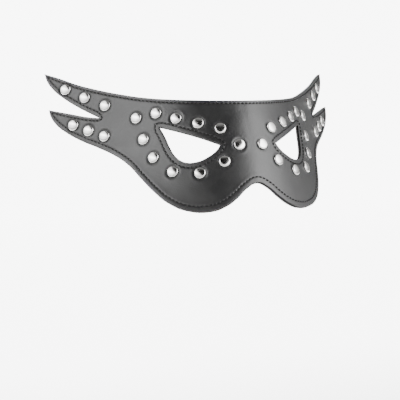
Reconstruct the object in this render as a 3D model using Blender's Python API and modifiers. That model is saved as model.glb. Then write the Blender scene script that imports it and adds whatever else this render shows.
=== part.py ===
# A leather eye mask with two pointed wings on each side and domed rivets, bent as it is worn.
# Metres, +Z up. It faces -Y and is symmetric about X = 0. Its origin is on the centre line of
# its inner face, where the bridge of the nose holds it.

import math

import bmesh
import bpy
from mathutils import Matrix, Vector

# Leather layers
face_thickness = 0.0015
backing_thickness = 0.0012
layer_gap = 0.0003

# Eye holes, in the flat pattern
bridge_width = 0.0492
eye_width = 0.0408
eye_opening = 0.0323
eye_tip_reach = 0.0034
eye_tip_lift = 0.0036

# Leather round the eye holes, in the flat pattern
temple_margin = 0.0346
wing_length = 0.054
wing_rise = 0.0793
cheek_margin = 0.040

# Form as worn
wrap_angle = math.radians(45.9)
wrap_ease = 1.75
lean_back = math.radians(29.3)
wing_lean = math.radians(6.6)
bridge_tuck = 0.0078
cheek_flare = 0.0057
seat_drop = 0.018

# Rivets
cap_diameter = 0.009
cap_height = 0.0021
cap_rim = 0.0005
post_diameter = 0.003
post_clearance = 0.0003
back_diameter = 0.007
back_thickness = 0.0008
rivet_gap = 0.0003

# Fineness of the faceted solids
outline_steps = 3
wrap_creases = 12
wing_creases = 3
cheek_creases = 6
rivet_sides = 10
hole_sides = 8
weld_distance = 0.000001
flat_angle = math.radians(0.1)

# Sizes that follow from these
half_face = bridge_width / 2 + eye_width + temple_margin
pattern_reach = half_face + wing_length
brow_level = eye_opening / 2
upper_reach = brow_level + wing_rise
cheek_reach = brow_level + cheek_margin
wrap_end = 0.8 * half_face
lean_level = -seat_drop
total_thickness = face_thickness + layer_gap + backing_thickness

# The flat pattern's right half. The up column holds shares of upper_reach above the eyes'
# level and of cheek_reach below it. The across column holds shares of half_face, and in the
# wings' table shares of wing_length, from half_face outwards.

# across, up
brow_edge = [
    (0.00, 0.288),
    (0.20, 0.305),
    (0.38, 0.349),
    (0.57, 0.417),
    (0.75, 0.500),
    (0.91, 0.588),
]

# across, up, corner
wing_edge = [
    (0.185, 0.703, False),
    (0.481, 0.811, False),
    (0.759, 0.930, False),
    (0.939, 1.000, True),
    (0.926, 0.925, False),
    (0.870, 0.846, False),
    (0.750, 0.747, False),
    (0.556, 0.624, False),
    (0.259, 0.464, True),
    (0.426, 0.506, False),
    (0.685, 0.586, False),
    (1.000, 0.684, True),
    (0.996, 0.621, False),
    (0.944, 0.542, False),
    (0.824, 0.448, False),
    (0.620, 0.334, False),
    (0.389, 0.227, False),
    (0.167, 0.113, False),
]

# across, up
cheek_edge = [
    (0.990, -0.021),
    (0.905, -0.288),
    (0.820, -0.546),
    (0.730, -0.760),
    (0.610, -0.920),
    (0.440, -1.000),
    (0.310, -0.970),
    (0.200, -0.884),
    (0.100, -0.770),
    (0.000, -0.705),
]

# The right eye hole, in shares of half its width and half its opening: across, up, corner
eye_edge = [
    (-0.995, -0.43, True),
    (0.955, 1.00, True),
    (0.995, 0.64, False),
    (0.920, 0.14, False),
    (0.760, -0.44, False),
    (0.466, -0.85, False),
    (0.020, -1.00, False),
    (-0.440, -0.90, False),
    (-0.810, -0.67, False),
]

# Rivets round the right eye, in shares as in the brow and cheek tables: across, up
eye_rivets = [
    (0.100, -0.162),
    (0.221, 0.060),
    (0.377, 0.141),
    (0.533, 0.232),
    (0.676, 0.330),
    (0.842, 0.349),
    (0.823, 0.154),
    (0.775, -0.044),
    (0.650, -0.329),
    (0.448, -0.454),
    (0.243, -0.368),
]

# Rivets on the right wings, in shares as in the wings' table: across, up
upper_wing_rivets = [
    (0.128, 0.547),
    (0.407, 0.676),
    (0.669, 0.800),
]
lower_wing_rivets = [
    (0.244, 0.297),
    (0.465, 0.390),
    (0.678, 0.481),
]


def clear_scene():
    for thing in list(bpy.data.objects):
        bpy.data.objects.remove(thing)


def new_collection(name):
    collection = bpy.data.collections.new(name)
    bpy.context.scene.collection.children.link(collection)
    return collection


def new_material(name, colour, roughness, metallic):
    material = bpy.data.materials.new(name)
    material.use_nodes = True
    shader = material.node_tree.nodes["Principled BSDF"]
    shader.inputs["Base Color"].default_value = (*colour, 1.0)
    shader.inputs["Roughness"].default_value = roughness
    shader.inputs["Metallic"].default_value = metallic
    return material


def height(share):
    return share * (upper_reach if share > 0 else cheek_reach)


def on_face(across, up):
    return Vector((across * half_face, height(up)))


def on_wing(across, up):
    return Vector((half_face + across * wing_length, height(up)))


def in_eye(across, up):
    middle = bridge_width / 2 + eye_width / 2
    return Vector((middle + across * eye_width / 2, up * eye_opening / 2))


def mirrored(point):
    return Vector((-point.x, point.y))


def mask_outline():
    """The whole outline, clockwise from the middle of the brow, as (point, corner) pairs."""
    right = [(on_face(*row), False) for row in brow_edge]
    right += [(on_wing(across, up), corner) for across, up, corner in wing_edge]
    right += [(on_face(*row), False) for row in cheek_edge]
    left = [(mirrored(point), corner) for point, corner in reversed(right[1:-1])]
    return right + left


def eye_outlines():
    """Both eye holes, their outer tips drawn out and up past the opening's own size."""
    right = []
    for across, up, corner in eye_edge:
        point = in_eye(across, up)
        if corner and across > 0:
            point += Vector((eye_tip_reach, eye_tip_lift))
        right.append((point, corner))
    return [right, [(mirrored(point), corner) for point, corner in right]]


def rivet_places():
    """Each rivet's name and its place on the flat pattern."""
    rows = [("eye", [on_face(*row) for row in eye_rivets])]
    rows.append(("upper_wing", [on_wing(*row) for row in upper_wing_rivets]))
    rows.append(("lower_wing", [on_wing(*row) for row in lower_wing_rivets]))
    places = {}
    for row, points in rows:
        for number, point in enumerate(points, 1):
            places[f"rivet_right_{row}_{number}"] = point
            places[f"rivet_left_{row}_{number}"] = mirrored(point)
    return places


def plan_curve():
    """The right half seen from above, as (x, y, turn) at even steps along the leather."""
    steps = 400
    step = pattern_reach / steps
    x, y, curve = 0.0, 0.0, []
    for number in range(steps + 1):
        turn = turn_at(number * step)
        curve.append((x, y, turn))
        middle_turn = turn_at((number + 0.5) * step)
        x += step * math.cos(middle_turn)
        y += step * math.sin(middle_turn)
    return curve


def turn_at(distance):
    """How far the leather has turned from facing forwards, at a distance from its middle."""
    left_over = max(0.0, 1 - distance / wrap_end)
    return wrap_angle * (1 - left_over ** wrap_ease)


def stand_off(distance, up):
    """How far the leather stands out from its upright plan curve."""
    lean = math.tan(wing_lean) * distance / pattern_reach * (up - lean_level)
    drop = max(0.0, brow_level - up) / (brow_level + cheek_reach)
    sideways = min(distance / wrap_end, 1.3)
    tuck = (bridge_tuck + cheek_flare) * sideways ** 2 - bridge_tuck
    return lean + tuck * drop ** 1.5


def bent(curve, across, up, depth):
    """A point of the flat pattern, depth below its outer face, on the bent and leaning mask."""
    side = -1 if across < 0 else 1
    place = abs(across) / pattern_reach * (len(curve) - 1)
    before = min(int(place), len(curve) - 2)
    ratio = place - before
    x, y, turn = [a + (b - a) * ratio for a, b in zip(curve[before], curve[before + 1])]
    out = stand_off(abs(across), up) - depth
    upright = Vector((side * (x + out * math.sin(turn)), y - out * math.cos(turn), up))
    return Matrix.Rotation(-lean_back, 3, "X") @ upright


def worn(curve, across, up, depth):
    """The same point, measured from the mask's seat on the bridge of the nose."""
    return bent(curve, across, up, depth) - bent(curve, 0.0, -seat_drop, total_thickness)


def add_bezier(curve, outline):
    spline = curve.splines.new("BEZIER")
    spline.bezier_points.add(len(outline) - 1)
    for knot, (point, corner) in zip(spline.bezier_points, outline):
        knot.co = (*point, 0.0)
        knot.handle_left_type = "VECTOR" if corner else "AUTO"
        knot.handle_right_type = "VECTOR" if corner else "AUTO"
    spline.use_cyclic_u = True


def add_hole(curve, middle, radius):
    spline = curve.splines.new("POLY")
    spline.points.add(hole_sides - 1)
    for number, point in enumerate(spline.points):
        angle = 2 * math.pi * (number + 0.5) / hole_sides
        across = middle.x + radius * math.cos(angle)
        point.co = (across, middle.y + radius * math.sin(angle), 0.0, 1.0)
    spline.use_cyclic_u = True


def flat_sheet():
    """The cut leather with its eye holes and rivet holes, as a flat sheet of no thickness."""
    curve = bpy.data.curves.new("pattern", "CURVE")
    curve.dimensions = "2D"
    curve.fill_mode = "BOTH"
    curve.resolution_u = outline_steps
    add_bezier(curve, mask_outline())
    for outline in eye_outlines():
        add_bezier(curve, outline)
    hole_radius = post_diameter / 2 + post_clearance
    for place in rivet_places().values():
        add_hole(curve, place, hole_radius / math.cos(math.pi / hole_sides))
    drawing = bpy.data.objects.new("pattern", curve)
    bpy.context.scene.collection.objects.link(drawing)
    graph = bpy.context.evaluated_depsgraph_get()
    mesh = bpy.data.meshes.new_from_object(drawing.evaluated_get(graph))
    bpy.data.objects.remove(drawing)
    return mesh


def crease_lines():
    """Where the flat sheet is cut so that it can bend, as distances across and heights."""
    across = [0.0]
    for number in range(1, wrap_creases + 1):
        share = 1 - (1 - number / wrap_creases) ** (1 / wrap_ease)
        across.append(share * wrap_end)
    for number in range(1, wing_creases + 1):
        across.append(wrap_end + (pattern_reach - wrap_end) * number / (wing_creases + 1))
    across += [-distance for distance in across[1:]]
    step = (brow_level + cheek_reach) / cheek_creases
    heights = [brow_level - number * step for number in range(cheek_creases)]
    return across, heights


def crease(shape):
    """Cut the sheet along its crease lines and join what the cuts left in slivers between."""
    across, heights = crease_lines()
    cuts = [((distance, 0, 0), (1, 0, 0)) for distance in across]
    cuts += [((0, level, 0), (0, 1, 0)) for level in heights]
    for place, normal in cuts:
        everything = shape.verts[:] + shape.edges[:] + shape.faces[:]
        cut = bmesh.ops.bisect_plane(
            shape, geom=everything, plane_co=place, plane_no=normal, dist=weld_distance)
        for piece in cut["geom_cut"]:
            if isinstance(piece, bmesh.types.BMEdge):
                piece.seam = True
    bmesh.ops.dissolve_limit(
        shape, verts=shape.verts, edges=shape.edges, angle_limit=flat_angle, delimit={"SEAM"})


def creased_sheet():
    sheet = flat_sheet()
    shape = bmesh.new()
    shape.from_mesh(sheet)
    bmesh.ops.remove_doubles(shape, verts=shape.verts, dist=weld_distance)
    crease(shape)
    bmesh.ops.triangulate(shape, faces=shape.faces)
    shape.to_mesh(sheet)
    shape.free()
    return sheet


def leather_layer(name, sheet, depths, material, collection, curve):
    """One layer of leather, bent as worn, between two depths below the mask's outer face."""
    outer_depth, inner_depth = depths
    shape = bmesh.new()
    shape.from_mesh(sheet)
    outer_points = shape.verts[:]
    doubled = bmesh.ops.extrude_face_region(shape, geom=shape.faces[:], use_keep_orig=True)
    for point in doubled["geom"]:
        if isinstance(point, bmesh.types.BMVert):
            point.co = worn(curve, point.co.x, point.co.y, inner_depth)
    for point in outer_points:
        point.co = worn(curve, point.co.x, point.co.y, outer_depth)
    bmesh.ops.recalc_face_normals(shape, faces=shape.faces)
    mesh = bpy.data.meshes.new(name)
    shape.to_mesh(mesh)
    shape.free()
    mesh.materials.append(material)
    layer = bpy.data.objects.new(name, mesh)
    collection.objects.link(layer)
    return layer


def rivet_profile():
    """Half the rivet's outline, from the top of its cap down; z is 0 on the leather's face."""
    cap, post, back = cap_diameter / 2, post_diameter / 2, back_diameter / 2
    under_leather = -total_thickness - rivet_gap
    dome = cap_height - cap_rim
    points = [(0.0, cap_height)]
    for share in (0.5, 0.85):
        points.append((share * cap, cap_rim + dome * math.sqrt(1 - share ** 2)))
    points += [
        (cap, cap_rim),
        (cap * 0.97, 0.0),
        (post, 0.0),
        (post, under_leather - rivet_gap),
        (back, under_leather - rivet_gap),
        (back, under_leather - rivet_gap - back_thickness),
        (0.0, under_leather - rivet_gap - back_thickness),
    ]
    return points


def rivet_mesh(material):
    mesh = bpy.data.meshes.new("rivet")
    points = [(x, 0.0, z) for x, z in rivet_profile()]
    edges = [(number, number + 1) for number in range(len(points) - 1)]
    mesh.from_pydata(points, edges, [])
    mesh.materials.append(material)
    return mesh


def rivet_matrix(curve, place):
    """The rivet stands square on the leather, its cap a gap above the outer face."""
    reach = 0.001
    here = worn(curve, place.x, place.y, 0.0)
    along = worn(curve, place.x + reach, place.y, 0.0) - worn(curve, place.x - reach, place.y, 0.0)
    upwards = worn(curve, place.x, place.y + reach, 0.0) - worn(curve, place.x, place.y - reach, 0.0)
    outwards = along.cross(upwards).normalized()
    along.normalize()
    turned = Matrix((along, outwards.cross(along), outwards)).transposed().to_4x4()
    return Matrix.Translation(here + rivet_gap * outwards) @ turned


def add_rivets(material, collection, curve):
    mesh = rivet_mesh(material)
    for name, place in sorted(rivet_places().items()):
        rivet = bpy.data.objects.new(name, mesh)
        collection.objects.link(rivet)
        rivet.matrix_world = rivet_matrix(curve, place)
        turning = rivet.modifiers.new("turned", "SCREW")
        turning.axis = "Z"
        turning.steps = rivet_sides
        turning.render_steps = rivet_sides
        turning.use_merge_vertices = True
        turning.merge_threshold = weld_distance
        turning.use_smooth_shade = True


def build():
    clear_scene()
    mask = new_collection("leather_mask")
    black_leather = new_material("black leather", (0.02, 0.02, 0.021), 0.42, 0.0)
    inner_leather = new_material("inner leather", (0.035, 0.035, 0.036), 0.6, 0.0)
    nickel = new_material("polished nickel", (0.72, 0.72, 0.74), 0.16, 1.0)
    curve = plan_curve()
    sheet = creased_sheet()
    face_depths = (0.0, face_thickness)
    backing_depths = (face_thickness + layer_gap, total_thickness)
    leather_layer("face_leather", sheet, face_depths, black_leather, mask, curve)
    leather_layer("backing_leather", sheet, backing_depths, inner_leather, mask, curve)
    add_rivets(nickel, mask, curve)


build()
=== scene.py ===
# The looks of the riveted leather eye mask: two layers of black leather cut from one flat
# pattern and bent as worn, the stitching along their edges, and the domed nickel rivets.
# Metres, +Z up, the mask faces -Y.

import math

import bmesh
import bpy
import numpy as np
from mathutils import Matrix, Vector, kdtree, noise
from mathutils.geometry import delaunay_2d_cdt


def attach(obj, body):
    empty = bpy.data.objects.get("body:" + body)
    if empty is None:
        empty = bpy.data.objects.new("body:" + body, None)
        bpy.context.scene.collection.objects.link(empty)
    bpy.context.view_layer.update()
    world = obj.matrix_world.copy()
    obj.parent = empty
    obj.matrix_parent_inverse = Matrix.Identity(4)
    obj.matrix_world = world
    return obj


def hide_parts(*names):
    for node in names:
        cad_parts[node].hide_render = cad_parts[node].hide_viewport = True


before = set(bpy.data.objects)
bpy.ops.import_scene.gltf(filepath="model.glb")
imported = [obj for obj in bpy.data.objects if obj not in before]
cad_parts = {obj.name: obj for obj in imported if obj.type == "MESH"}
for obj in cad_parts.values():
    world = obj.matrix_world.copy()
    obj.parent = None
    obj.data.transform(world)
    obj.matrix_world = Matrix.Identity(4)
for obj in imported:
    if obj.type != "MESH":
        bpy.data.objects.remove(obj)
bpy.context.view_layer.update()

MM = 0.001

# The flat pattern's sizes, as in the CAD
bridge_width = 0.0492
eye_width = 0.0408
eye_opening = 0.0323
eye_tip_reach = 0.0034
eye_tip_lift = 0.0036
temple_margin = 0.0346
wing_length = 0.054
wing_rise = 0.0793
cheek_margin = 0.040
wrap_angle = math.radians(45.9)
wrap_ease = 1.75
lean_back = math.radians(29.3)
wing_lean = math.radians(6.6)
bridge_tuck = 0.0078
cheek_flare = 0.0057
seat_drop = 0.018
leather_depth = 0.003
flare_limit = 1.3
tuck_power = 1.5

half_face = bridge_width / 2 + eye_width + temple_margin
pattern_reach = half_face + wing_length
brow_level = eye_opening / 2
upper_reach = brow_level + wing_rise
cheek_reach = brow_level + cheek_margin
wrap_end = 0.8 * half_face

# Even steps along the leather, seen from above, and some past the wing tips
plan_steps = 800
plan_overrun = 40

# Layers, as depths below the mask's outer face
face_depths = (0.0, 1.60 * MM)
backing_depths = (1.72 * MM, leather_depth)
edge_round = 0.5 * MM
inner_round = 0.2 * MM

# Stitching: how far inside each edge it runs, and the stitches' own sizes
eye_inset = 4.0 * MM
upper_inset = 2.6 * MM
wing_inset = 3.3 * MM
cheek_inset = 4.4 * MM
tip_share = 0.55
tip_reach = 9 * MM
stitch_pitch = 3.3 * MM
stitch_length = 2.4 * MM
stitch_mitre = 1.45
stitch_sunk = 0.16 * MM
thread_radius = 0.52 * MM

# Fineness of the leather's sheets. The rows are in mm: from an edge, and aside of a seam; the
# rings round a rivet are radii and numbers of points.
loop_spacing = 0.7 * MM
row_spacing = 0.75 * MM
seam_spacing = 0.35 * MM
fine_spacing = 1.5 * MM
plain_spacing = 5 * MM
least_spacing = 0.25 * MM
edge_rows = (1.1, 1.8, 2.5)
seam_rows = (0.0, -0.35, 0.35, -0.75, 0.75, -1.2, 1.2, 1.8)
rivet_rings = ((2.5, 8), (4.4, 22), (4.9, 24), (5.4, 26), (6.0, 28), (6.8, 30))

# Outlines as in the CAD: shares across and up, and whether the knot is a corner
brow_edge = [
    (0.00, 0.288), (0.20, 0.305), (0.38, 0.349), (0.57, 0.417), (0.75, 0.500), (0.91, 0.588),
]
wing_edge = [
    (0.185, 0.703, False), (0.481, 0.811, False), (0.759, 0.930, False), (0.939, 1.000, True),
    (0.926, 0.925, False), (0.870, 0.846, False), (0.750, 0.747, False), (0.556, 0.624, False),
    (0.259, 0.464, True), (0.426, 0.506, False), (0.685, 0.586, False), (1.000, 0.684, True),
    (0.996, 0.621, False), (0.944, 0.542, False), (0.824, 0.448, False), (0.620, 0.334, False),
    (0.389, 0.227, False), (0.167, 0.113, False),
]
cheek_edge = [
    (0.990, -0.021), (0.905, -0.288), (0.820, -0.546), (0.730, -0.760), (0.610, -0.920),
    (0.440, -1.000), (0.310, -0.970), (0.200, -0.884), (0.100, -0.770), (0.000, -0.705),
]
eye_edge = [
    (-0.995, -0.43, True), (0.955, 1.00, True), (0.995, 0.64, False), (0.920, 0.14, False),
    (0.760, -0.44, False), (0.466, -0.85, False), (0.020, -1.00, False), (-0.440, -0.90, False),
    (-0.810, -0.67, False),
]
eye_rivets = [
    (0.100, -0.162), (0.221, 0.060), (0.377, 0.141), (0.533, 0.232), (0.676, 0.330),
    (0.842, 0.349), (0.823, 0.154), (0.775, -0.044), (0.650, -0.329), (0.448, -0.454),
    (0.243, -0.368),
]
upper_wing_rivets = [(0.128, 0.547), (0.407, 0.676), (0.669, 0.800)]
lower_wing_rivets = [(0.244, 0.297), (0.465, 0.390), (0.678, 0.481)]


# Pattern

def height(share):
    return share * (upper_reach if share > 0 else cheek_reach)


def on_face(across, up):
    return (across * half_face, height(up))


def on_wing(across, up):
    return (half_face + across * wing_length, height(up))


def in_eye(across, up, corner):
    """A knot of the eye hole, whose outer tip is drawn out and up past the opening's size."""
    drawn_out = 1 if corner and across > 0 else 0
    x = bridge_width / 2 + (1 + across) * eye_width / 2 + drawn_out * eye_tip_reach
    return (x, up * eye_opening / 2 + drawn_out * eye_tip_lift)


def mirrored(point):
    return (-point[0], point[1])


def rivet_places():
    rows = {
        "eye": [on_face(*row) for row in eye_rivets],
        "upper_wing": [on_wing(*row) for row in upper_wing_rivets],
        "lower_wing": [on_wing(*row) for row in lower_wing_rivets],
    }
    places = {}
    for row, points in rows.items():
        for number, point in enumerate(points, 1):
            places[f"rivet_right_{row}_{number}"] = point
            places[f"rivet_left_{row}_{number}"] = mirrored(point)
    return places


def turn_at(distance):
    """How far the leather has turned from facing forwards."""
    left_over = np.maximum(0.0, 1 - distance / wrap_end)
    return wrap_angle * (1 - left_over ** wrap_ease)


def plan_curve():
    """The right half seen from above: distance along the leather, x and y."""
    step = pattern_reach / plan_steps
    along = np.arange(plan_steps + plan_overrun) * step
    turn = turn_at(along[:-1] + step / 2)
    x = np.concatenate([[0], np.cumsum(np.cos(turn) * step)])
    y = np.concatenate([[0], np.cumsum(np.sin(turn) * step)])
    return along, x, y


PLAN = plan_curve()


def stand_off(distance, up):
    """How far the leather stands out from its upright plan curve."""
    lean = math.tan(wing_lean) * distance / pattern_reach * (up + seat_drop)
    drop = np.maximum(0.0, brow_level - up) / (brow_level + cheek_reach)
    sideways = np.minimum(distance / wrap_end, flare_limit)
    tuck = (bridge_tuck + cheek_flare) * sideways ** 2 - bridge_tuck
    return lean + tuck * drop ** tuck_power


def bent(points, depth):
    """Points of the flat pattern, at depths below the outer face, on the leaning mask."""
    across, up = points[:, 0], points[:, 1]
    distance = np.abs(across)
    side = np.where(across < 0, -1.0, 1.0)
    x = np.interp(distance, PLAN[0], PLAN[1])
    y = np.interp(distance, PLAN[0], PLAN[2])
    turn = turn_at(distance)
    out = stand_off(distance, up) - depth
    flat_y = y - out * np.cos(turn)
    cos, sin = math.cos(lean_back), math.sin(lean_back)
    return np.stack([
        side * (x + out * np.sin(turn)), flat_y * cos + up * sin, up * cos - flat_y * sin], -1)


SEAT = bent(np.array([[0.0, -seat_drop]]), leather_depth)[0]


def worn(points, depth):
    """The same points, measured from the mask's seat on the bridge of the nose."""
    return bent(np.asarray(points, float), depth) - SEAT


# Outlines on the flat pattern

def drawn(knots, name):
    """A closed Bezier outline through knots, as its points in order."""
    curve = bpy.data.curves.new(name, "CURVE")
    curve.dimensions = "2D"
    curve.fill_mode = "NONE"
    curve.resolution_u = 24
    spline = curve.splines.new("BEZIER")
    spline.bezier_points.add(len(knots) - 1)
    for knot, (point, corner) in zip(spline.bezier_points, knots):
        knot.co = (*point, 0.0)
        knot.handle_left_type = "VECTOR" if corner else "AUTO"
        knot.handle_right_type = "VECTOR" if corner else "AUTO"
    spline.use_cyclic_u = True
    drawing = bpy.data.objects.new(name, curve)
    bpy.context.scene.collection.objects.link(drawing)
    bpy.ops.object.select_all(action="DESELECT")
    drawing.select_set(True)
    bpy.context.view_layer.objects.active = drawing
    bpy.ops.object.convert(target="MESH")
    points = np.array([tuple(vertex.co.xy) for vertex in drawing.data.vertices])
    bpy.data.objects.remove(drawing)
    return points


def evenly(points, spacing, corners=()):
    """The closed outline with its points an even distance apart, its corners kept."""
    ring = np.vstack([points, points[:1]])
    lengths = np.concatenate([[0], np.cumsum(np.linalg.norm(np.diff(ring, axis=0), axis=1))])
    stops = sorted({int(np.argmin(np.linalg.norm(points - corner, axis=1))) for corner in corners})
    marks = [lengths[stop] for stop in stops] or [0.0]
    places = []
    for first, last in zip(marks, marks[1:] + [marks[0] + lengths[-1]]):
        count = max(1, int(round((last - first) / spacing)))
        places += list(first + np.arange(count) * (last - first) / count)
    places = np.array(places) % lengths[-1]
    return np.stack([np.interp(places, lengths, ring[:, k]) for k in (0, 1)], -1)


def outward(points):
    """Unit directions away from the leather, which lies on the outline's left."""
    ahead = np.roll(points, -1, 0) - np.roll(points, 1, 0)
    ahead /= np.linalg.norm(ahead, axis=1)[:, None]
    return np.stack([ahead[:, 1], -ahead[:, 0]], -1)


def inward(loop):
    """Unit steps into the leather, shorter where a sharp tip leaves them no room."""
    step = -outward(loop)
    tree = finder(evenly(loop, 0.1 * MM))
    share = np.full(len(loop), 0.04)
    for trial in (0.1, 0.2, 0.3, 0.4, 0.5, 0.6, 0.8, 1.0):
        reach = trial * edge_round
        free = distances(tree, loop + step * reach) > reach * 0.94
        share[free] = trial
    for _ in range(2):
        share = np.minimum(share, (np.roll(share, 1) + np.roll(share, -1)) / 2 + 0.1)
    return step * share[:, None]


def signed_area(points):
    after = np.roll(points, -1, 0)
    return 0.5 * np.sum(points[:, 0] * after[:, 1] - after[:, 0] * points[:, 1])


def pattern_loops(spacing):
    """The outer outline, anticlockwise, and the two eye holes, clockwise."""
    right = [(on_face(*row), False) for row in brow_edge]
    right += [(on_wing(across, up), corner) for across, up, corner in wing_edge]
    right += [(on_face(*row), False) for row in cheek_edge]
    left = [(mirrored(point), corner) for point, corner in reversed(right[1:-1])]
    eye = [(in_eye(*row), row[2]) for row in eye_edge]
    other_eye = [(mirrored(point), corner) for point, corner in eye]
    loops = []
    rows = (("outline", right + left, 1), ("eye", eye, -1), ("eye", other_eye, -1))
    for name, knots, turning in rows:
        corners = [point for point, corner in knots if corner]
        points = evenly(drawn(knots, name), spacing, corners)
        if signed_area(points) * turning < 0:
            points = points[::-1]
        loops.append(points)
    return loops


def finder(points):
    """A tree that finds the nearest of some flat points."""
    tree = kdtree.KDTree(len(points))
    for number, point in enumerate(points):
        tree.insert((point[0], point[1], 0.0), number)
    tree.balance()
    return tree


def distances(tree, points):
    return np.array([tree.find((x, y, 0.0))[2] for x, y in points])


def inside(points, loops):
    """Whether each point is on leather: inside the outline and outside both eye holes."""
    odd = np.zeros(len(points), bool)
    x, y = points[:, 0][:, None], points[:, 1][:, None]
    for loop in loops:
        ax, ay = loop[:, 0], loop[:, 1]
        bx, by = np.roll(ax, -1), np.roll(ay, -1)
        spans = (ay > y) != (by > y)
        with np.errstate(divide="ignore", invalid="ignore"):
            meets = x < (bx - ax) * (y - ay) / (by - ay) + ax
        odd ^= (np.sum(spans & meets, axis=1) % 2).astype(bool)
    return odd


def seam_corners():
    """The corners that the stitching reaches: the wing tips, and each eye hole's two ends."""
    tips = [on_wing(across, up) for across, up, corner in wing_edge if corner and across > 0.5]
    ends = [in_eye(*row) for row in eye_edge if row[2]]
    return [tips + [mirrored(tip) for tip in tips], ends, [mirrored(end) for end in ends]]


def seam_insets(loop):
    """How far inside the outer outline the stitching runs: least on top and at the tips."""
    facing = outward(loop)[:, 1]
    on_cheek = np.clip((0.125 - np.abs(loop[:, 0])) / 0.025, 0, 1)
    inset = wing_inset + (upper_inset - wing_inset) * np.maximum(facing, 0)
    inset += (cheek_inset - wing_inset) * np.maximum(-facing, 0) * on_cheek
    tips = np.array(seam_corners()[0])
    near = np.min(np.linalg.norm(loop[:, None] - tips, axis=2), axis=1)
    inset *= 1 - (1 - tip_share) * np.exp(-(near / tip_reach) ** 2)
    for _ in range(12):
        inset = (np.roll(inset, 1) + 2 * inset + np.roll(inset, -1)) / 4
    return inset[:, None]


def inset_path(loop, tree, inset, spacing, corners):
    """The path some distance inside the leather's edge, with a point at each given corner.

    Where the edge turns in on itself at such a corner, the path's two sides are carried on until
    they meet, but no further from the corner than the mitre allows.
    """
    path = loop - outward(loop) * inset
    inset = np.broadcast_to(inset, (len(loop), 1))[:, 0]
    keep = distances(tree, path) > inset * 0.97
    count, reach = len(loop), 4
    ahead = np.roll(loop, -1, 0) - loop
    heading = np.unwrap(np.arctan2(ahead[:, 1], ahead[:, 0]))
    turning = np.array([heading[(k + 2) % count] - heading[k - 3] for k in range(count)])
    turning = (turning + math.pi) % (2 * math.pi) - math.pi
    points = []
    for k in np.where(turning < -0.9)[0]:
        near = [(k + step) % count for step in range(-reach, reach + 1)]
        off_corner = min(np.linalg.norm(loop[k] - corner) for corner in corners)
        if turning[k] > turning[near].min() or off_corner > 1 * MM:
            continue
        first, last = near[0], near[-1]
        before, after = ahead[first - 1], -ahead[last]
        gap = path[last] - path[first]
        across = before[0] * after[1] - before[1] * after[0]
        share = (gap[0] * after[1] - gap[1] * after[0]) / across
        point = path[first] + before * share - loop[k]
        length = np.linalg.norm(point)
        path[k] = loop[k] + point * min(1, stitch_mitre * inset[k] / length)
        keep[near[1:-1]] = False
        keep[k] = True
        points.append(path[k])
    return evenly(path[keep], spacing, points or corners)


# Leather

def lattice(spacing):
    """Points over the whole pattern's box, in staggered rows."""
    rows = np.arange(-cheek_reach, upper_reach, spacing * 0.866)
    columns = np.arange(-pattern_reach, pattern_reach, spacing)
    points = [np.stack([columns + (number % 2) * spacing / 2, np.full(len(columns), row)], -1)
              for number, row in enumerate(rows)]
    return np.vstack(points)


def ring_points(centre, radius, count):
    angles = np.arange(count) * 2 * math.pi / count
    return np.stack([centre[0] + radius * np.cos(angles), centre[1] + radius * np.sin(angles)], -1)


def filled_sheet(loops, extra):
    """A triangulated flat sheet between the loops: its points, loop points first, and faces."""
    border = np.vstack(loops)
    points = np.vstack([border, extra])
    edges, start = [], 0
    for loop in loops:
        count = len(loop)
        edges += [(start + k, start + (k + 1) % count) for k in range(count)]
        start += count
    flat = [Vector(point) for point in points * 1000]
    found, _, faces, origins, _, _ = delaunay_2d_cdt(flat, edges, [], 0, 1e-5)
    number_of = {}
    for number, sources in enumerate(origins):
        for source in sources:
            number_of[source] = number
    if len(found) != len(points):
        raise ValueError(f"{len(points)} points became {len(found)}")
    back = {number: source for source, number in number_of.items()}
    faces = np.array([[back[k] for k in face] for face in faces])
    middles = points[faces].mean(axis=1)
    on_border = (faces < len(border)).all(axis=1)
    keep = np.ones(len(faces), bool)
    keep[on_border] = inside(middles[on_border], loops)
    return points, faces[keep]


def relief(points, seam_tree, hole_tree, rivet_tree, seed):
    """How far the surface stands above its plain form, in metres."""
    seam = distances(seam_tree, points) / MM
    hole = distances(hole_tree, points) / MM
    rivet = distances(rivet_tree, points) / MM
    groove = -0.05 * np.exp(-(seam / 0.55) ** 2)
    welt = 0.05 * np.exp(-((seam - 1.7) / 0.9) ** 2)
    pricks = -0.30 * np.exp(-(hole / 0.5) ** 2)
    dish = -0.34 / (1 + np.exp((rivet - 5.3) / 0.35)) + 0.10 * np.exp(-((rivet - 6.5) / 0.9) ** 2)
    waves = np.array([
        0.16 * noise.noise(Vector((x * 38, y * 38, seed))) +
        0.05 * noise.noise(Vector((x * 120, y * 120, seed + 5)))
        for x, y in points])
    return (groove + welt + pricks + dish + waves) * MM


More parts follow.
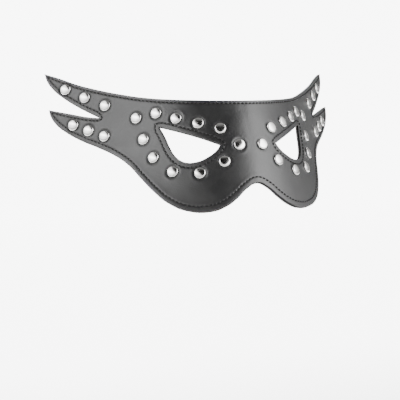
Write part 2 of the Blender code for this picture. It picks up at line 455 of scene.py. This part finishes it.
def leather_layer(name, depths, fine_first, loops, sheets, trees, seed):
    """A closed layer of leather whose outer (or inner) face carries the fine relief."""
    (fine_points, fine_faces), (plain_points, plain_faces) = sheets
    start, sign = (depths[0], 1) if fine_first else (depths[1], -1)
    thickness = depths[1] - depths[0]
    border = np.vstack(loops)
    into = np.vstack([inward(loop) for loop in loops])
    raised = relief(fine_points, *trees[1:], seed)
    raised[:len(border)] = raised[:len(border)] * 0.5
    rings = []
    for angle in (22.5, 45, 67.5, 90):
        turn = math.radians(angle)
        rings.append((edge_round * (1 - math.sin(turn)), edge_round * (1 - math.cos(turn))))
    rings.append((0.0, thickness - inner_round))
    rings.append((inner_round * 0.3, thickness - inner_round * 0.3))
    places = [worn(fine_points, start - sign * raised)]
    for inset, below in rings:
        fade = max(0.0, 1 - below / edge_round) * raised[:len(border)]
        places.append(worn(border + into * inset, start + sign * (below - fade)))
    places.append(worn(plain_points, start + sign * thickness))
    points = np.vstack(places)
    firsts = [0] + [len(fine_points) + k * len(border) for k in range(len(rings))]
    firsts.append(len(fine_points) + len(rings) * len(border))
    faces = [tuple(face) for face in fine_faces]
    faces += [tuple(face[::-1] + firsts[-1]) for face in plain_faces]
    for upper, lower in zip(firsts[:-1], firsts[1:]):
        begin = 0
        for loop in loops:
            count = len(loop)
            for k in range(count):
                a, b = begin + k, begin + (k + 1) % count
                faces.append((upper + a, lower + a, lower + b, upper + b))
            begin += count
    mesh = bpy.data.meshes.new(name)
    mesh.from_pydata(points, [], faces)
    edge = distances(trees[0], fine_points) / MM
    # How rubbed each point is, least away from the edges, with a painted highlight on the rounded
    # rim, and whether it lies on the cut edge
    rub_and_highlight = np.ones(len(points)) * 0.8
    rub_and_highlight[:len(fine_points)] = np.exp(-(edge / 0.7) ** 2)
    rub_and_highlight[len(fine_points) + 3 * len(border):] = 0
    mesh.attributes.new("rub_and_highlight", "FLOAT", "POINT").data.foreach_set("value", rub_and_highlight.astype(np.float32))
    cut = np.zeros(len(points), np.float32)
    cut[len(fine_points) + 2 * len(border):] = 1
    mesh.attributes.new("cut", "FLOAT", "POINT").data.foreach_set("value", cut)
    layer = bpy.data.objects.new(name, mesh)
    bpy.context.scene.collection.objects.link(layer)
    tidy_normals(layer, 50)
    return layer


def tidy_normals(piece, sharp_angle):
    """Points the faces of a closed piece outwards and shades it smooth."""
    bpy.ops.object.select_all(action="DESELECT")
    piece.select_set(True)
    bpy.context.view_layer.objects.active = piece
    bpy.ops.object.mode_set(mode="EDIT")
    bpy.ops.mesh.select_all(action="SELECT")
    bpy.ops.mesh.normals_make_consistent(inside=False)
    bpy.ops.object.mode_set(mode="OBJECT")
    bpy.ops.object.shade_smooth_by_angle(angle=math.radians(sharp_angle))


# Stitching

def stitch_shape():
    """One stitch, modelled along X: a thread that rises out of one hole and dips into the next."""
    bpy.ops.object.select_all(action="DESELECT")
    bpy.ops.mesh.primitive_cylinder_add(vertices=8, radius=thread_radius, depth=stitch_length)
    stitch = bpy.context.object
    bpy.ops.object.mode_set(mode="EDIT")
    bpy.ops.mesh.select_all(action="SELECT")
    bpy.ops.transform.rotate(value=math.pi / 2, orient_axis="Y", center_override=(0, 0, 0))
    for share in (-0.42, -0.3, -0.1, 0.1, 0.3, 0.42):
        bpy.ops.mesh.select_all(action="SELECT")
        bpy.ops.mesh.bisect(plane_co=(share * stitch_length, 0, 0), plane_no=(1, 0, 0))
    bpy.ops.object.mode_set(mode="OBJECT")
    for vertex in stitch.data.vertices:
        share = vertex.co.x / (stitch_length / 2)
        narrowing = math.sqrt(max(0.12, 1 - share ** 6))
        vertex.co.y *= narrowing * 1.05
        vertex.co.z = vertex.co.z * narrowing * 0.85 + thread_radius * (0.75 - 1.5 * share ** 4)
    points = np.array([tuple(vertex.co) for vertex in stitch.data.vertices])
    faces = [tuple(face.vertices) for face in stitch.data.polygons]
    bpy.data.objects.remove(stitch)
    return points, faces


def stitch_line(path):
    """Middles and directions of the stitches along one even path."""
    ahead = np.roll(path, -1, 0) - path
    length = np.linalg.norm(ahead, axis=1)
    return path + ahead / 2, ahead / length[:, None]


def stitches(name, paths, depth, side, seed):
    """All stitches of one face: side is 1 on the outer face and -1 on the inner one."""
    shape, shape_faces = stitch_shape()
    random = np.random.default_rng(seed)
    points, faces, twists = [], [], []
    for path in paths:
        for middle, ahead in zip(*stitch_line(path)):
            swing = random.normal(0, 0.05)
            ahead = np.array([ahead[0] - swing * ahead[1], ahead[1] + swing * ahead[0]])
            aside = np.array([-ahead[1], ahead[0]])
            flat = middle + shape[:, :1] * ahead + shape[:, 1:2] * aside
            first = len(points) * len(shape)
            points.append(worn(flat, depth - side * shape[:, 2]))
            faces += [tuple(first + k for k in face) for face in shape_faces]
            twists.append(shape[:, 0] / thread_radius * 1.1 + np.arctan2(shape[:, 2], shape[:, 1]))
    mesh = bpy.data.meshes.new(name)
    mesh.from_pydata(np.vstack(points), [], faces)
    twist = np.concatenate(twists).astype(np.float32)
    mesh.attributes.new("twist", "FLOAT", "POINT").data.foreach_set("value", twist)
    seam = bpy.data.objects.new(name, mesh)
    bpy.context.scene.collection.objects.link(seam)
    tidy_normals(seam, 60)
    return seam


# Rivets

# Half the rivet's outline, in millimetres from the leather's face: out from the axis, height
rivet_outline = [
    (0.0, 1.70), (0.9, 1.68), (1.8, 1.61), (2.6, 1.51), (3.3, 1.38), (3.7, 1.28), (3.95, 1.17),
    (4.15, 1.00), (4.33, 0.72), (4.45, 0.36), (4.49, 0.04), (4.42, -0.12), (4.2, -0.18),
    (1.6, -0.18), (1.6, -3.22), (3.2, -3.22), (3.45, -3.32), (3.5, -3.5), (3.42, -3.72),
    (3.1, -3.86), (2.2, -3.9), (1.5, -3.86), (1.15, -3.7), (0.95, -3.45), (0.0, -3.4),
]


def rivet_shape():
    """A domed rivet spun from its outline round its own axis."""
    bpy.ops.object.select_all(action="DESELECT")
    mesh = bpy.data.meshes.new("rivet")
    points = [(x * MM, 0.0, z * MM) for x, z in rivet_outline]
    mesh.from_pydata(points, [(k, k + 1) for k in range(len(points) - 1)], [])
    rivet = bpy.data.objects.new("rivet", mesh)
    bpy.context.scene.collection.objects.link(rivet)
    rivet.select_set(True)
    bpy.context.view_layer.objects.active = rivet
    bpy.ops.object.mode_set(mode="EDIT")
    bpy.ops.mesh.select_all(action="SELECT")
    bpy.ops.mesh.spin(steps=28, angle=2 * math.pi, center=(0, 0, 0), axis=(0, 0, 1))
    bpy.ops.mesh.select_all(action="SELECT")
    bpy.ops.mesh.remove_doubles(threshold=0.00001)
    bpy.ops.mesh.normals_make_consistent(inside=False)
    bpy.ops.object.mode_set(mode="OBJECT")
    bpy.ops.object.shade_smooth_by_angle(angle=math.radians(40))
    return rivet


def rivet_matrix(place, tilt, spin):
    """A rivet square on the leather, but for a small tilt, and turned about its own axis."""
    reach = 0.5 * MM
    x, y = place
    probes = worn([(x, y), (x + reach, y), (x - reach, y), (x, y + reach), (x, y - reach)], 0.0)
    along = Vector(probes[1] - probes[2]).normalized()
    out = along.cross(Vector(probes[3] - probes[4])).normalized()
    stand = Matrix((along, out.cross(along), out)).transposed()
    lean = Matrix.Rotation(tilt[0], 3, "X") @ Matrix.Rotation(tilt[1], 3, "Y")
    turned = (stand @ lean @ Matrix.Rotation(spin, 3, "Z")).to_4x4()
    return Matrix.Translation(Vector(probes[0])) @ turned


def add_rivets(material):
    pattern = rivet_shape()
    random = np.random.default_rng(7)
    for name, place in sorted(rivet_places().items()):
        mesh = pattern.data.copy()
        tilt = random.normal(0, math.radians(0.8), 2)
        mesh.transform(rivet_matrix(place, tilt, random.uniform(0, 6.28)))
        rivet = bpy.data.objects.new(name + "_domed", mesh)
        bpy.context.scene.collection.objects.link(rivet)
        mesh.materials.append(material)
        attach(rivet, "root")
        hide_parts(name)
    bpy.data.objects.remove(pattern)


# Materials

def new_material(name):
    """A material with its nodes, its links and its main shader."""
    material = bpy.data.materials.new(name)
    material.use_nodes = True
    nodes, links = material.node_tree.nodes, material.node_tree.links
    return material, nodes, links, nodes["Principled BSDF"]


def textured(nodes, links, kind, scale, **values):
    """A texture node on Object coordinates."""
    place = nodes.new("ShaderNodeTexCoord")
    texture = nodes.new(kind)
    texture.inputs["Scale"].default_value = scale
    for socket, value in values.items():
        texture.inputs[socket].default_value = value
    links.new(place.outputs["Object"], texture.inputs["Vector"])
    return texture


def ramp(nodes, links, source, stops):
    """A colour ramp; each stop is a position with a grey or a colour."""
    node = nodes.new("ShaderNodeValToRGB")
    while len(node.color_ramp.elements) < len(stops):
        node.color_ramp.elements.new(0.5)
    for element, (position, value) in zip(node.color_ramp.elements, stops):
        element.position = position
        element.color = (*value, 1) if isinstance(value, tuple) else (value, value, value, 1)
    links.new(source, node.inputs["Fac"])
    return node


def bumped(nodes, links, source, strength, distance, below=None):
    """A bump node, on top of the one below it."""
    bump = nodes.new("ShaderNodeBump")
    bump.inputs["Strength"].default_value = strength
    bump.inputs["Distance"].default_value = distance
    links.new(source, bump.inputs["Height"])
    if below is not None:
        links.new(below.outputs["Normal"], bump.inputs["Normal"])
    return bump


def calculated(nodes, links, kind, *values):
    """A maths node whose inputs are sockets or plain numbers."""
    node = nodes.new("ShaderNodeMath")
    node.operation = kind
    for socket, value in zip(node.inputs, values):
        if isinstance(value, (int, float)):
            socket.default_value = value
        else:
            links.new(value, socket)
    return node.outputs["Value"]


def eased(nodes, links, value, low, high, floor=0.0, top=1.0):
    """A smooth step from floor to top while the value goes from low to high."""
    node = nodes.new("ShaderNodeMapRange")
    node.interpolation_type = "SMOOTHSTEP"
    links.new(value, node.inputs["Value"])
    ends = {"From Min": low, "From Max": high, "To Min": floor, "To Max": top}
    for name, number in ends.items():
        node.inputs[name].default_value = number
    return node.outputs["Result"]


def blended(nodes, links, share, first, second):
    """A plain number mix of two values."""
    node = nodes.new("ShaderNodeMix")
    links.new(share, node.inputs["Factor"])
    for name, value in (("A", first), ("B", second)):
        if isinstance(value, (int, float)):
            node.inputs[name].default_value = value
        else:
            links.new(value, node.inputs[name])
    return node.outputs["Result"]


def mixed_colour(nodes, links, share, first, second):
    """A mix of a colour socket and a fixed colour."""
    node = nodes.new("ShaderNodeMix")
    node.data_type = "RGBA"
    links.new(share, node.inputs["Factor"])
    links.new(first, node.inputs["A"])
    node.inputs["B"].default_value = second
    return node.outputs["Result"]


def attribute(nodes, name):
    node = nodes.new("ShaderNodeAttribute")
    node.attribute_name = name
    return node


def face_leather_material():
    """Satin black leather with a fine pebbled grain, pores, and edges rubbed a little lighter, the
    rounded rim lighter still as a painted highlight.
    """
    material, nodes, links, shader = new_material("satin black leather")
    cloud = textured(nodes, links, "ShaderNodeTexNoise", 45, Detail=4.0, Roughness=0.6)
    grain = textured(nodes, links, "ShaderNodeTexVoronoi", 1500, Randomness=1.0)
    grain.feature = "SMOOTH_F1"
    pores = textured(nodes, links, "ShaderNodeTexNoise", 2600, Detail=2.0)
    creases = textured(nodes, links, "ShaderNodeTexNoise", 260, Detail=5.0, Distortion=1.2)
    rub_and_highlight = attribute(nodes, "rub_and_highlight")
    body = ramp(nodes, links, cloud.outputs["Fac"], [
        (0.3, (0.0095, 0.0095, 0.010)), (0.7, (0.0165, 0.0163, 0.0162))])
    # Lighter near the edges: partly rubbed wear, partly a painted highlight along the rounded rim
    rubbed_and_highlit = mixed_colour(
        nodes, links, rub_and_highlight.outputs["Fac"], body.outputs["Color"], (0.030, 0.029, 0.028, 1))
    cut = attribute(nodes, "cut")
    dyed = mixed_colour(nodes, links, cut.outputs["Fac"], rubbed_and_highlit, (0.003, 0.003, 0.003, 1))
    links.new(dyed, shader.inputs["Base Color"])
    gloss = ramp(nodes, links, cloud.outputs["Fac"], [(0.25, 0.29), (0.75, 0.38)])
    rough = blended(nodes, links, cut.outputs["Fac"], gloss.outputs["Color"], 0.8)
    links.new(rough, shader.inputs["Roughness"])
    first = bumped(nodes, links, grain.outputs["Distance"], 0.22, 0.00018)
    second = bumped(nodes, links, pores.outputs["Fac"], 0.12, 0.00008, first)
    third = bumped(nodes, links, creases.outputs["Fac"], 0.14, 0.0004, second)
    links.new(third.outputs["Normal"], shader.inputs["Normal"])
    shine = blended(nodes, links, cut.outputs["Fac"], 0.55, 0.12)
    links.new(shine, shader.inputs["Specular IOR Level"])
    return material


def backing_leather_material():
    """The inner face's matt nap, a little lighter and softer than the outer face."""
    material, nodes, links, shader = new_material("matt black backing")
    cloud = textured(nodes, links, "ShaderNodeTexNoise", 60, Detail=6.0, Roughness=0.7)
    nap = textured(nodes, links, "ShaderNodeTexNoise", 1400, Detail=4.0, Roughness=0.75)
    body = ramp(nodes, links, cloud.outputs["Fac"], [
        (0.3, (0.010, 0.0097, 0.0094)), (0.7, (0.020, 0.0195, 0.019))])
    cut = attribute(nodes, "cut")
    edge = mixed_colour(
        nodes, links, cut.outputs["Fac"], body.outputs["Color"], (0.075, 0.072, 0.069, 1))
    links.new(edge, shader.inputs["Base Color"])
    gloss = ramp(nodes, links, nap.outputs["Fac"], [(0.3, 0.62), (0.7, 0.86)])
    links.new(gloss.outputs["Color"], shader.inputs["Roughness"])
    bump = bumped(nodes, links, nap.outputs["Fac"], 0.45, 0.00022)
    links.new(bump.outputs["Normal"], shader.inputs["Normal"])
    shader.inputs["Specular IOR Level"].default_value = 0.35
    shader.inputs["Sheen Weight"].default_value = 0.03
    return material


def thread_material():
    """Waxed black thread with its twist."""
    material, nodes, links, shader = new_material("waxed black thread")
    twist = attribute(nodes, "twist")
    turns = calculated(nodes, links, "MULTIPLY", twist.outputs["Fac"], 3.0)
    wave = calculated(nodes, links, "SINE", turns)
    shade = ramp(nodes, links, wave, [(0.0, 0.002), (1.0, 0.006)])
    links.new(shade.outputs["Color"], shader.inputs["Base Color"])
    bump = bumped(nodes, links, wave, 0.5, 0.00008)
    links.new(bump.outputs["Normal"], shader.inputs["Normal"])
    shader.inputs["Roughness"].default_value = 0.6
    shader.inputs["Specular IOR Level"].default_value = 0.3
    return material


def nickel_material():
    """Polished nickel plate with fine handling marks."""
    material, nodes, links, shader = new_material("polished nickel")
    shader.inputs["Metallic"].default_value = 1.0
    smudge = textured(nodes, links, "ShaderNodeTexNoise", 420, Detail=5.0, Roughness=0.65)
    tint = ramp(nodes, links, smudge.outputs["Fac"], [
        (0.3, (0.70, 0.69, 0.67)), (0.7, (0.80, 0.79, 0.775))])
    links.new(tint.outputs["Color"], shader.inputs["Base Color"])
    gloss = ramp(nodes, links, smudge.outputs["Fac"], [(0.3, 0.10), (0.75, 0.21)])
    links.new(gloss.outputs["Color"], shader.inputs["Roughness"])
    scratch = textured(nodes, links, "ShaderNodeTexNoise", 2400, Detail=3.0, Distortion=2.0)
    bump = bumped(nodes, links, scratch.outputs["Fac"], 0.05, 0.00005)
    links.new(bump.outputs["Normal"], shader.inputs["Normal"])
    return material


# Floor, light and camera

def paper_material():
    """White paper that glows softly behind the mask, as an overexposed backdrop does."""
    material, nodes, links, shader = new_material("white paper")
    shader.inputs["Base Color"].default_value = (0.93, 0.93, 0.93, 1)
    shader.inputs["Roughness"].default_value = 0.9
    shader.inputs["Emission Color"].default_value = (1, 1, 1, 1)
    place = nodes.new("ShaderNodeTexCoord")
    split = nodes.new("ShaderNodeSeparateXYZ")
    links.new(place.outputs["Object"], split.inputs[0])
    # The camera looks along a line that moves this far aside for each metre back
    slant = -0.445
    aside = calculated(
        nodes, links, "MULTIPLY_ADD", split.outputs["Y"], slant, split.outputs["X"])
    aside = calculated(nodes, links, "ABSOLUTE", aside)
    behind = eased(nodes, links, split.outputs["Y"], -0.3, 0.5)
    middle = eased(nodes, links, aside, 0.8, 1.4, 5.5, 0.0)
    glow = calculated(nodes, links, "MULTIPLY", behind, middle)
    links.new(glow, shader.inputs["Emission Strength"])
    return material


def add_plane(name, size, middle):
    """A level square, with its object left at the origin."""
    bpy.ops.object.select_all(action="DESELECT")
    bpy.ops.mesh.primitive_plane_add(size=size, location=middle)
    plane = bpy.context.object
    plane.name = name
    bpy.ops.object.transform_apply(location=True, rotation=False, scale=False)
    return plane


def select_edges(plane, wanted):
    """Selects the edges whose two ends both pass a test, in edit mode."""
    bpy.ops.mesh.select_all(action="DESELECT")
    shape = bmesh.from_edit_mesh(plane.data)
    for edge in shape.edges:
        edge.select_set(all(wanted(vertex.co) for vertex in edge.verts))
    bmesh.update_edit_mesh(plane.data)


def add_studio():
    """A wide white floor, and a narrow sheet of paper that curves up behind the mask."""
    paper = paper_material()
    floor = add_plane("floor", 24, (0, -8.5, -0.262))
    sheet = add_plane("paper", 6, (0, 0.5, -0.26))
    bpy.ops.object.mode_set(mode="EDIT")
    bpy.ops.mesh.select_mode(type="EDGE")
    select_edges(sheet, lambda place: place.y > 3)
    bpy.ops.mesh.extrude_region_move(TRANSFORM_OT_translate={"value": (0, 0, 5)})
    select_edges(sheet, lambda place: place.y > 3 and place.z < 0)
    bpy.ops.mesh.bevel(offset=1.6, segments=32, affect="EDGES")
    bpy.ops.object.mode_set(mode="OBJECT")
    bpy.ops.object.shade_smooth()
    for piece in (floor, sheet):
        piece.data.materials.append(paper)


# The studio's brightness as shares of its brightest box: up the left box, by its height in
# degrees, and round the studio, by degrees from straight in front towards the wearer's left
side_box_rise = [(10, 0.35), (21, 0.38), (26, 0.7), (29, 1.0), (33, 1.0), (38, 0.40), (50, 0.30)]
studio_ring = [
    (-180, 0.06), (-150, 0.05), (-125, 0.09), (-100, 0.70), (-76, 1.0), (-62, 0.70), (-50, 0.40),
    (0, 0.45), (15, 0.78), (35, 0.95), (55, 0.8), (80, 0.23), (100, 0.12), (116, 0.03), (140, 0.04),
    (180, 0.06),
]

# The dark wedge in front: where its middle lies and how it widens with height, in radians, and
# the stretch over which its edge fades. Then the light below and above the boxes as shares, and
# the strength of all light.
wedge_aside = 0.29
wedge_spread = -1.7
wedge_fade = (-0.50, -0.24)
low_light = 0.045
top_light = 0.03
full_strength = 10.5


def add_world():
    """A white studio: broad boxes on both sides and a dark wedge high in front."""
    world = bpy.data.worlds.new("studio")
    bpy.context.scene.world = world
    world.use_nodes = True
    nodes, links = world.node_tree.nodes, world.node_tree.links
    place = nodes.new("ShaderNodeTexCoord")
    split = nodes.new("ShaderNodeSeparateXYZ")
    links.new(place.outputs["Generated"], split.inputs[0])
    front = calculated(nodes, links, "MULTIPLY", split.outputs["Y"], -1.0)
    round_about = calculated(nodes, links, "ARCTAN2", split.outputs["X"], front)
    rise = calculated(nodes, links, "ARCSINE", split.outputs["Z"])
    turn = calculated(nodes, links, "MULTIPLY_ADD", round_about, 1 / (2 * math.pi), 0.5)
    ring = ramp(nodes, links, turn, [((angle + 180) / 360, share) for angle, share in studio_ring])
    aside = calculated(nodes, links, "ADD", round_about, wedge_aside)
    aside = calculated(nodes, links, "ABSOLUTE", aside)
    wedge = calculated(nodes, links, "MULTIPLY_ADD", rise, wedge_spread, aside)
    opened = eased(nodes, links, wedge, *wedge_fade)
    middle = calculated(nodes, links, "MULTIPLY", opened, ring.outputs["Color"])
    stops = [(angle / 90, share) for angle, share in side_box_rise]
    band = ramp(nodes, links, calculated(nodes, links, "MULTIPLY", rise, 2 / math.pi), stops)
    left = eased(nodes, links, round_about, -0.3, -0.6)
    band = blended(nodes, links, left, 1.0, band.outputs["Color"])
    middle = calculated(nodes, links, "MULTIPLY", middle, band)
    above = eased(nodes, links, rise, 0.80, 1.15)
    below = eased(nodes, links, rise, 0.05, 0.28)
    low = blended(nodes, links, below, low_light, middle)
    light = blended(nodes, links, above, low, top_light)
    strength = calculated(nodes, links, "MULTIPLY", light, full_strength)
    background = nodes["Background"]
    links.new(strength, background.inputs["Strength"])
    background.inputs["Color"].default_value = (1, 1, 1, 1)


def add_camera():
    """The photograph's view, from a fit of the mask's outline and rivets to the picture."""
    camera = bpy.data.cameras.new("view")
    focal_pixels, picture_pixels = 1253.0, 400
    camera.sensor_width = 36
    camera.lens = 36 * focal_pixels / picture_pixels
    camera.clip_end = 50
    holder = bpy.data.objects.new("view", camera)
    bpy.context.scene.collection.objects.link(holder)
    azimuth, elevation = math.radians(-24), math.radians(5.71)
    back = Vector((math.sin(azimuth) * math.cos(elevation),
                   -math.cos(azimuth) * math.cos(elevation), math.sin(elevation)))
    target = Vector((-0.0391, 0.0089, -0.0324))
    holder.location = target + back * 0.9481
    holder.rotation_euler = back.to_track_quat("Z", "Y").to_euler()
    bpy.context.scene.camera = holder


# The mask

def fine_sheet(loops, corners, seams, rivets, edge_tree, rivet_tree):
    """The sheet with the fine relief, densest along its edges and seams and round the rivets."""
    points = []
    for inset in edge_rows:
        points += [inset_path(loop, edge_tree, inset * MM, row_spacing, ends)
                   for loop, ends in zip(loops, corners)]
    lines = [evenly(seam, loop_spacing) for seam in seams]
    for aside in seam_rows:
        points += [line - outward(line) * aside * MM for line in lines]
    for radius, count in rivet_rings:
        points += [ring_points(rivet, radius * MM, count) for rivet in rivets]
    grid = lattice(fine_spacing)
    grid = grid[inside(grid, loops)]
    grid = grid[(distances(edge_tree, grid) > 6.0 * MM) & (distances(rivet_tree, grid) > 7.4 * MM)]
    points = np.vstack(points + [grid])
    points = points[inside(points, loops)]
    points = points[distances(edge_tree, points) > 0.95 * MM]
    points = thinned(points, least_spacing)
    return filled_sheet([loop + inward(loop) * edge_round for loop in loops], points)


def plain_sheet(loops, edge_tree):
    """The coarse sheet for a layer's hidden side."""
    grid = lattice(plain_spacing)
    grid = grid[inside(grid, loops)]
    grid = grid[distances(edge_tree, grid) > 2 * MM]
    return filled_sheet([loop + inward(loop) * inner_round for loop in loops], grid)


def dress_mask():
    """Lays the leather, the stitching and the rivets over the solids."""
    loops = pattern_loops(loop_spacing)
    corners = seam_corners()
    edge_tree = finder(np.vstack(loops))
    insets = [seam_insets(loops[0]), eye_inset, eye_inset]
    paths = [inset_path(loop, edge_tree, inset, stitch_pitch, ends)
             for loop, inset, ends in zip(loops, insets, corners)]
    seams = [evenly(path, seam_spacing, path) for path in paths]
    rivets = np.array(list(rivet_places().values()))
    rivet_tree = finder(rivets)
    trees = (edge_tree, finder(np.vstack(seams)), finder(np.vstack(paths)), rivet_tree)
    fine = fine_sheet(loops, corners, seams, rivets, edge_tree, rivet_tree)
    sheets = (fine, plain_sheet(loops, edge_tree))
    leather, backing = face_leather_material(), backing_leather_material()
    face = leather_layer("face_leather_grain", face_depths, True, loops, sheets, trees, 1.0)
    inner = leather_layer("backing_leather_nap", backing_depths, False, loops, sheets, trees, 9.0)
    for layer, node, material in (
            (face, "face_leather", leather), (inner, "backing_leather", backing)):
        layer.data.materials.append(material)
        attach(layer, "root")
        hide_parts(node)
    thread = thread_material()
    front = stitches("stitching_front", paths, face_depths[0] + stitch_sunk, 1, 3)
    back = stitches("stitching_back", paths, leather_depth - stitch_sunk, -1, 4)
    for seam in (front, back):
        seam.data.materials.append(thread)
        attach(seam, "root")
    add_rivets(nickel_material())


def thinned(points, least):
    """Drops each point that lies closer than least to an earlier one."""
    tree = finder(points)
    dropped = np.zeros(len(points), bool)
    for number, (x, y) in enumerate(points):
        if dropped[number]:
            continue
        for _, other, _ in tree.find_range((x, y, 0.0), least):
            if other > number:
                dropped[other] = True
    return points[~dropped]


dress_mask()
add_studio()
add_world()
add_camera()
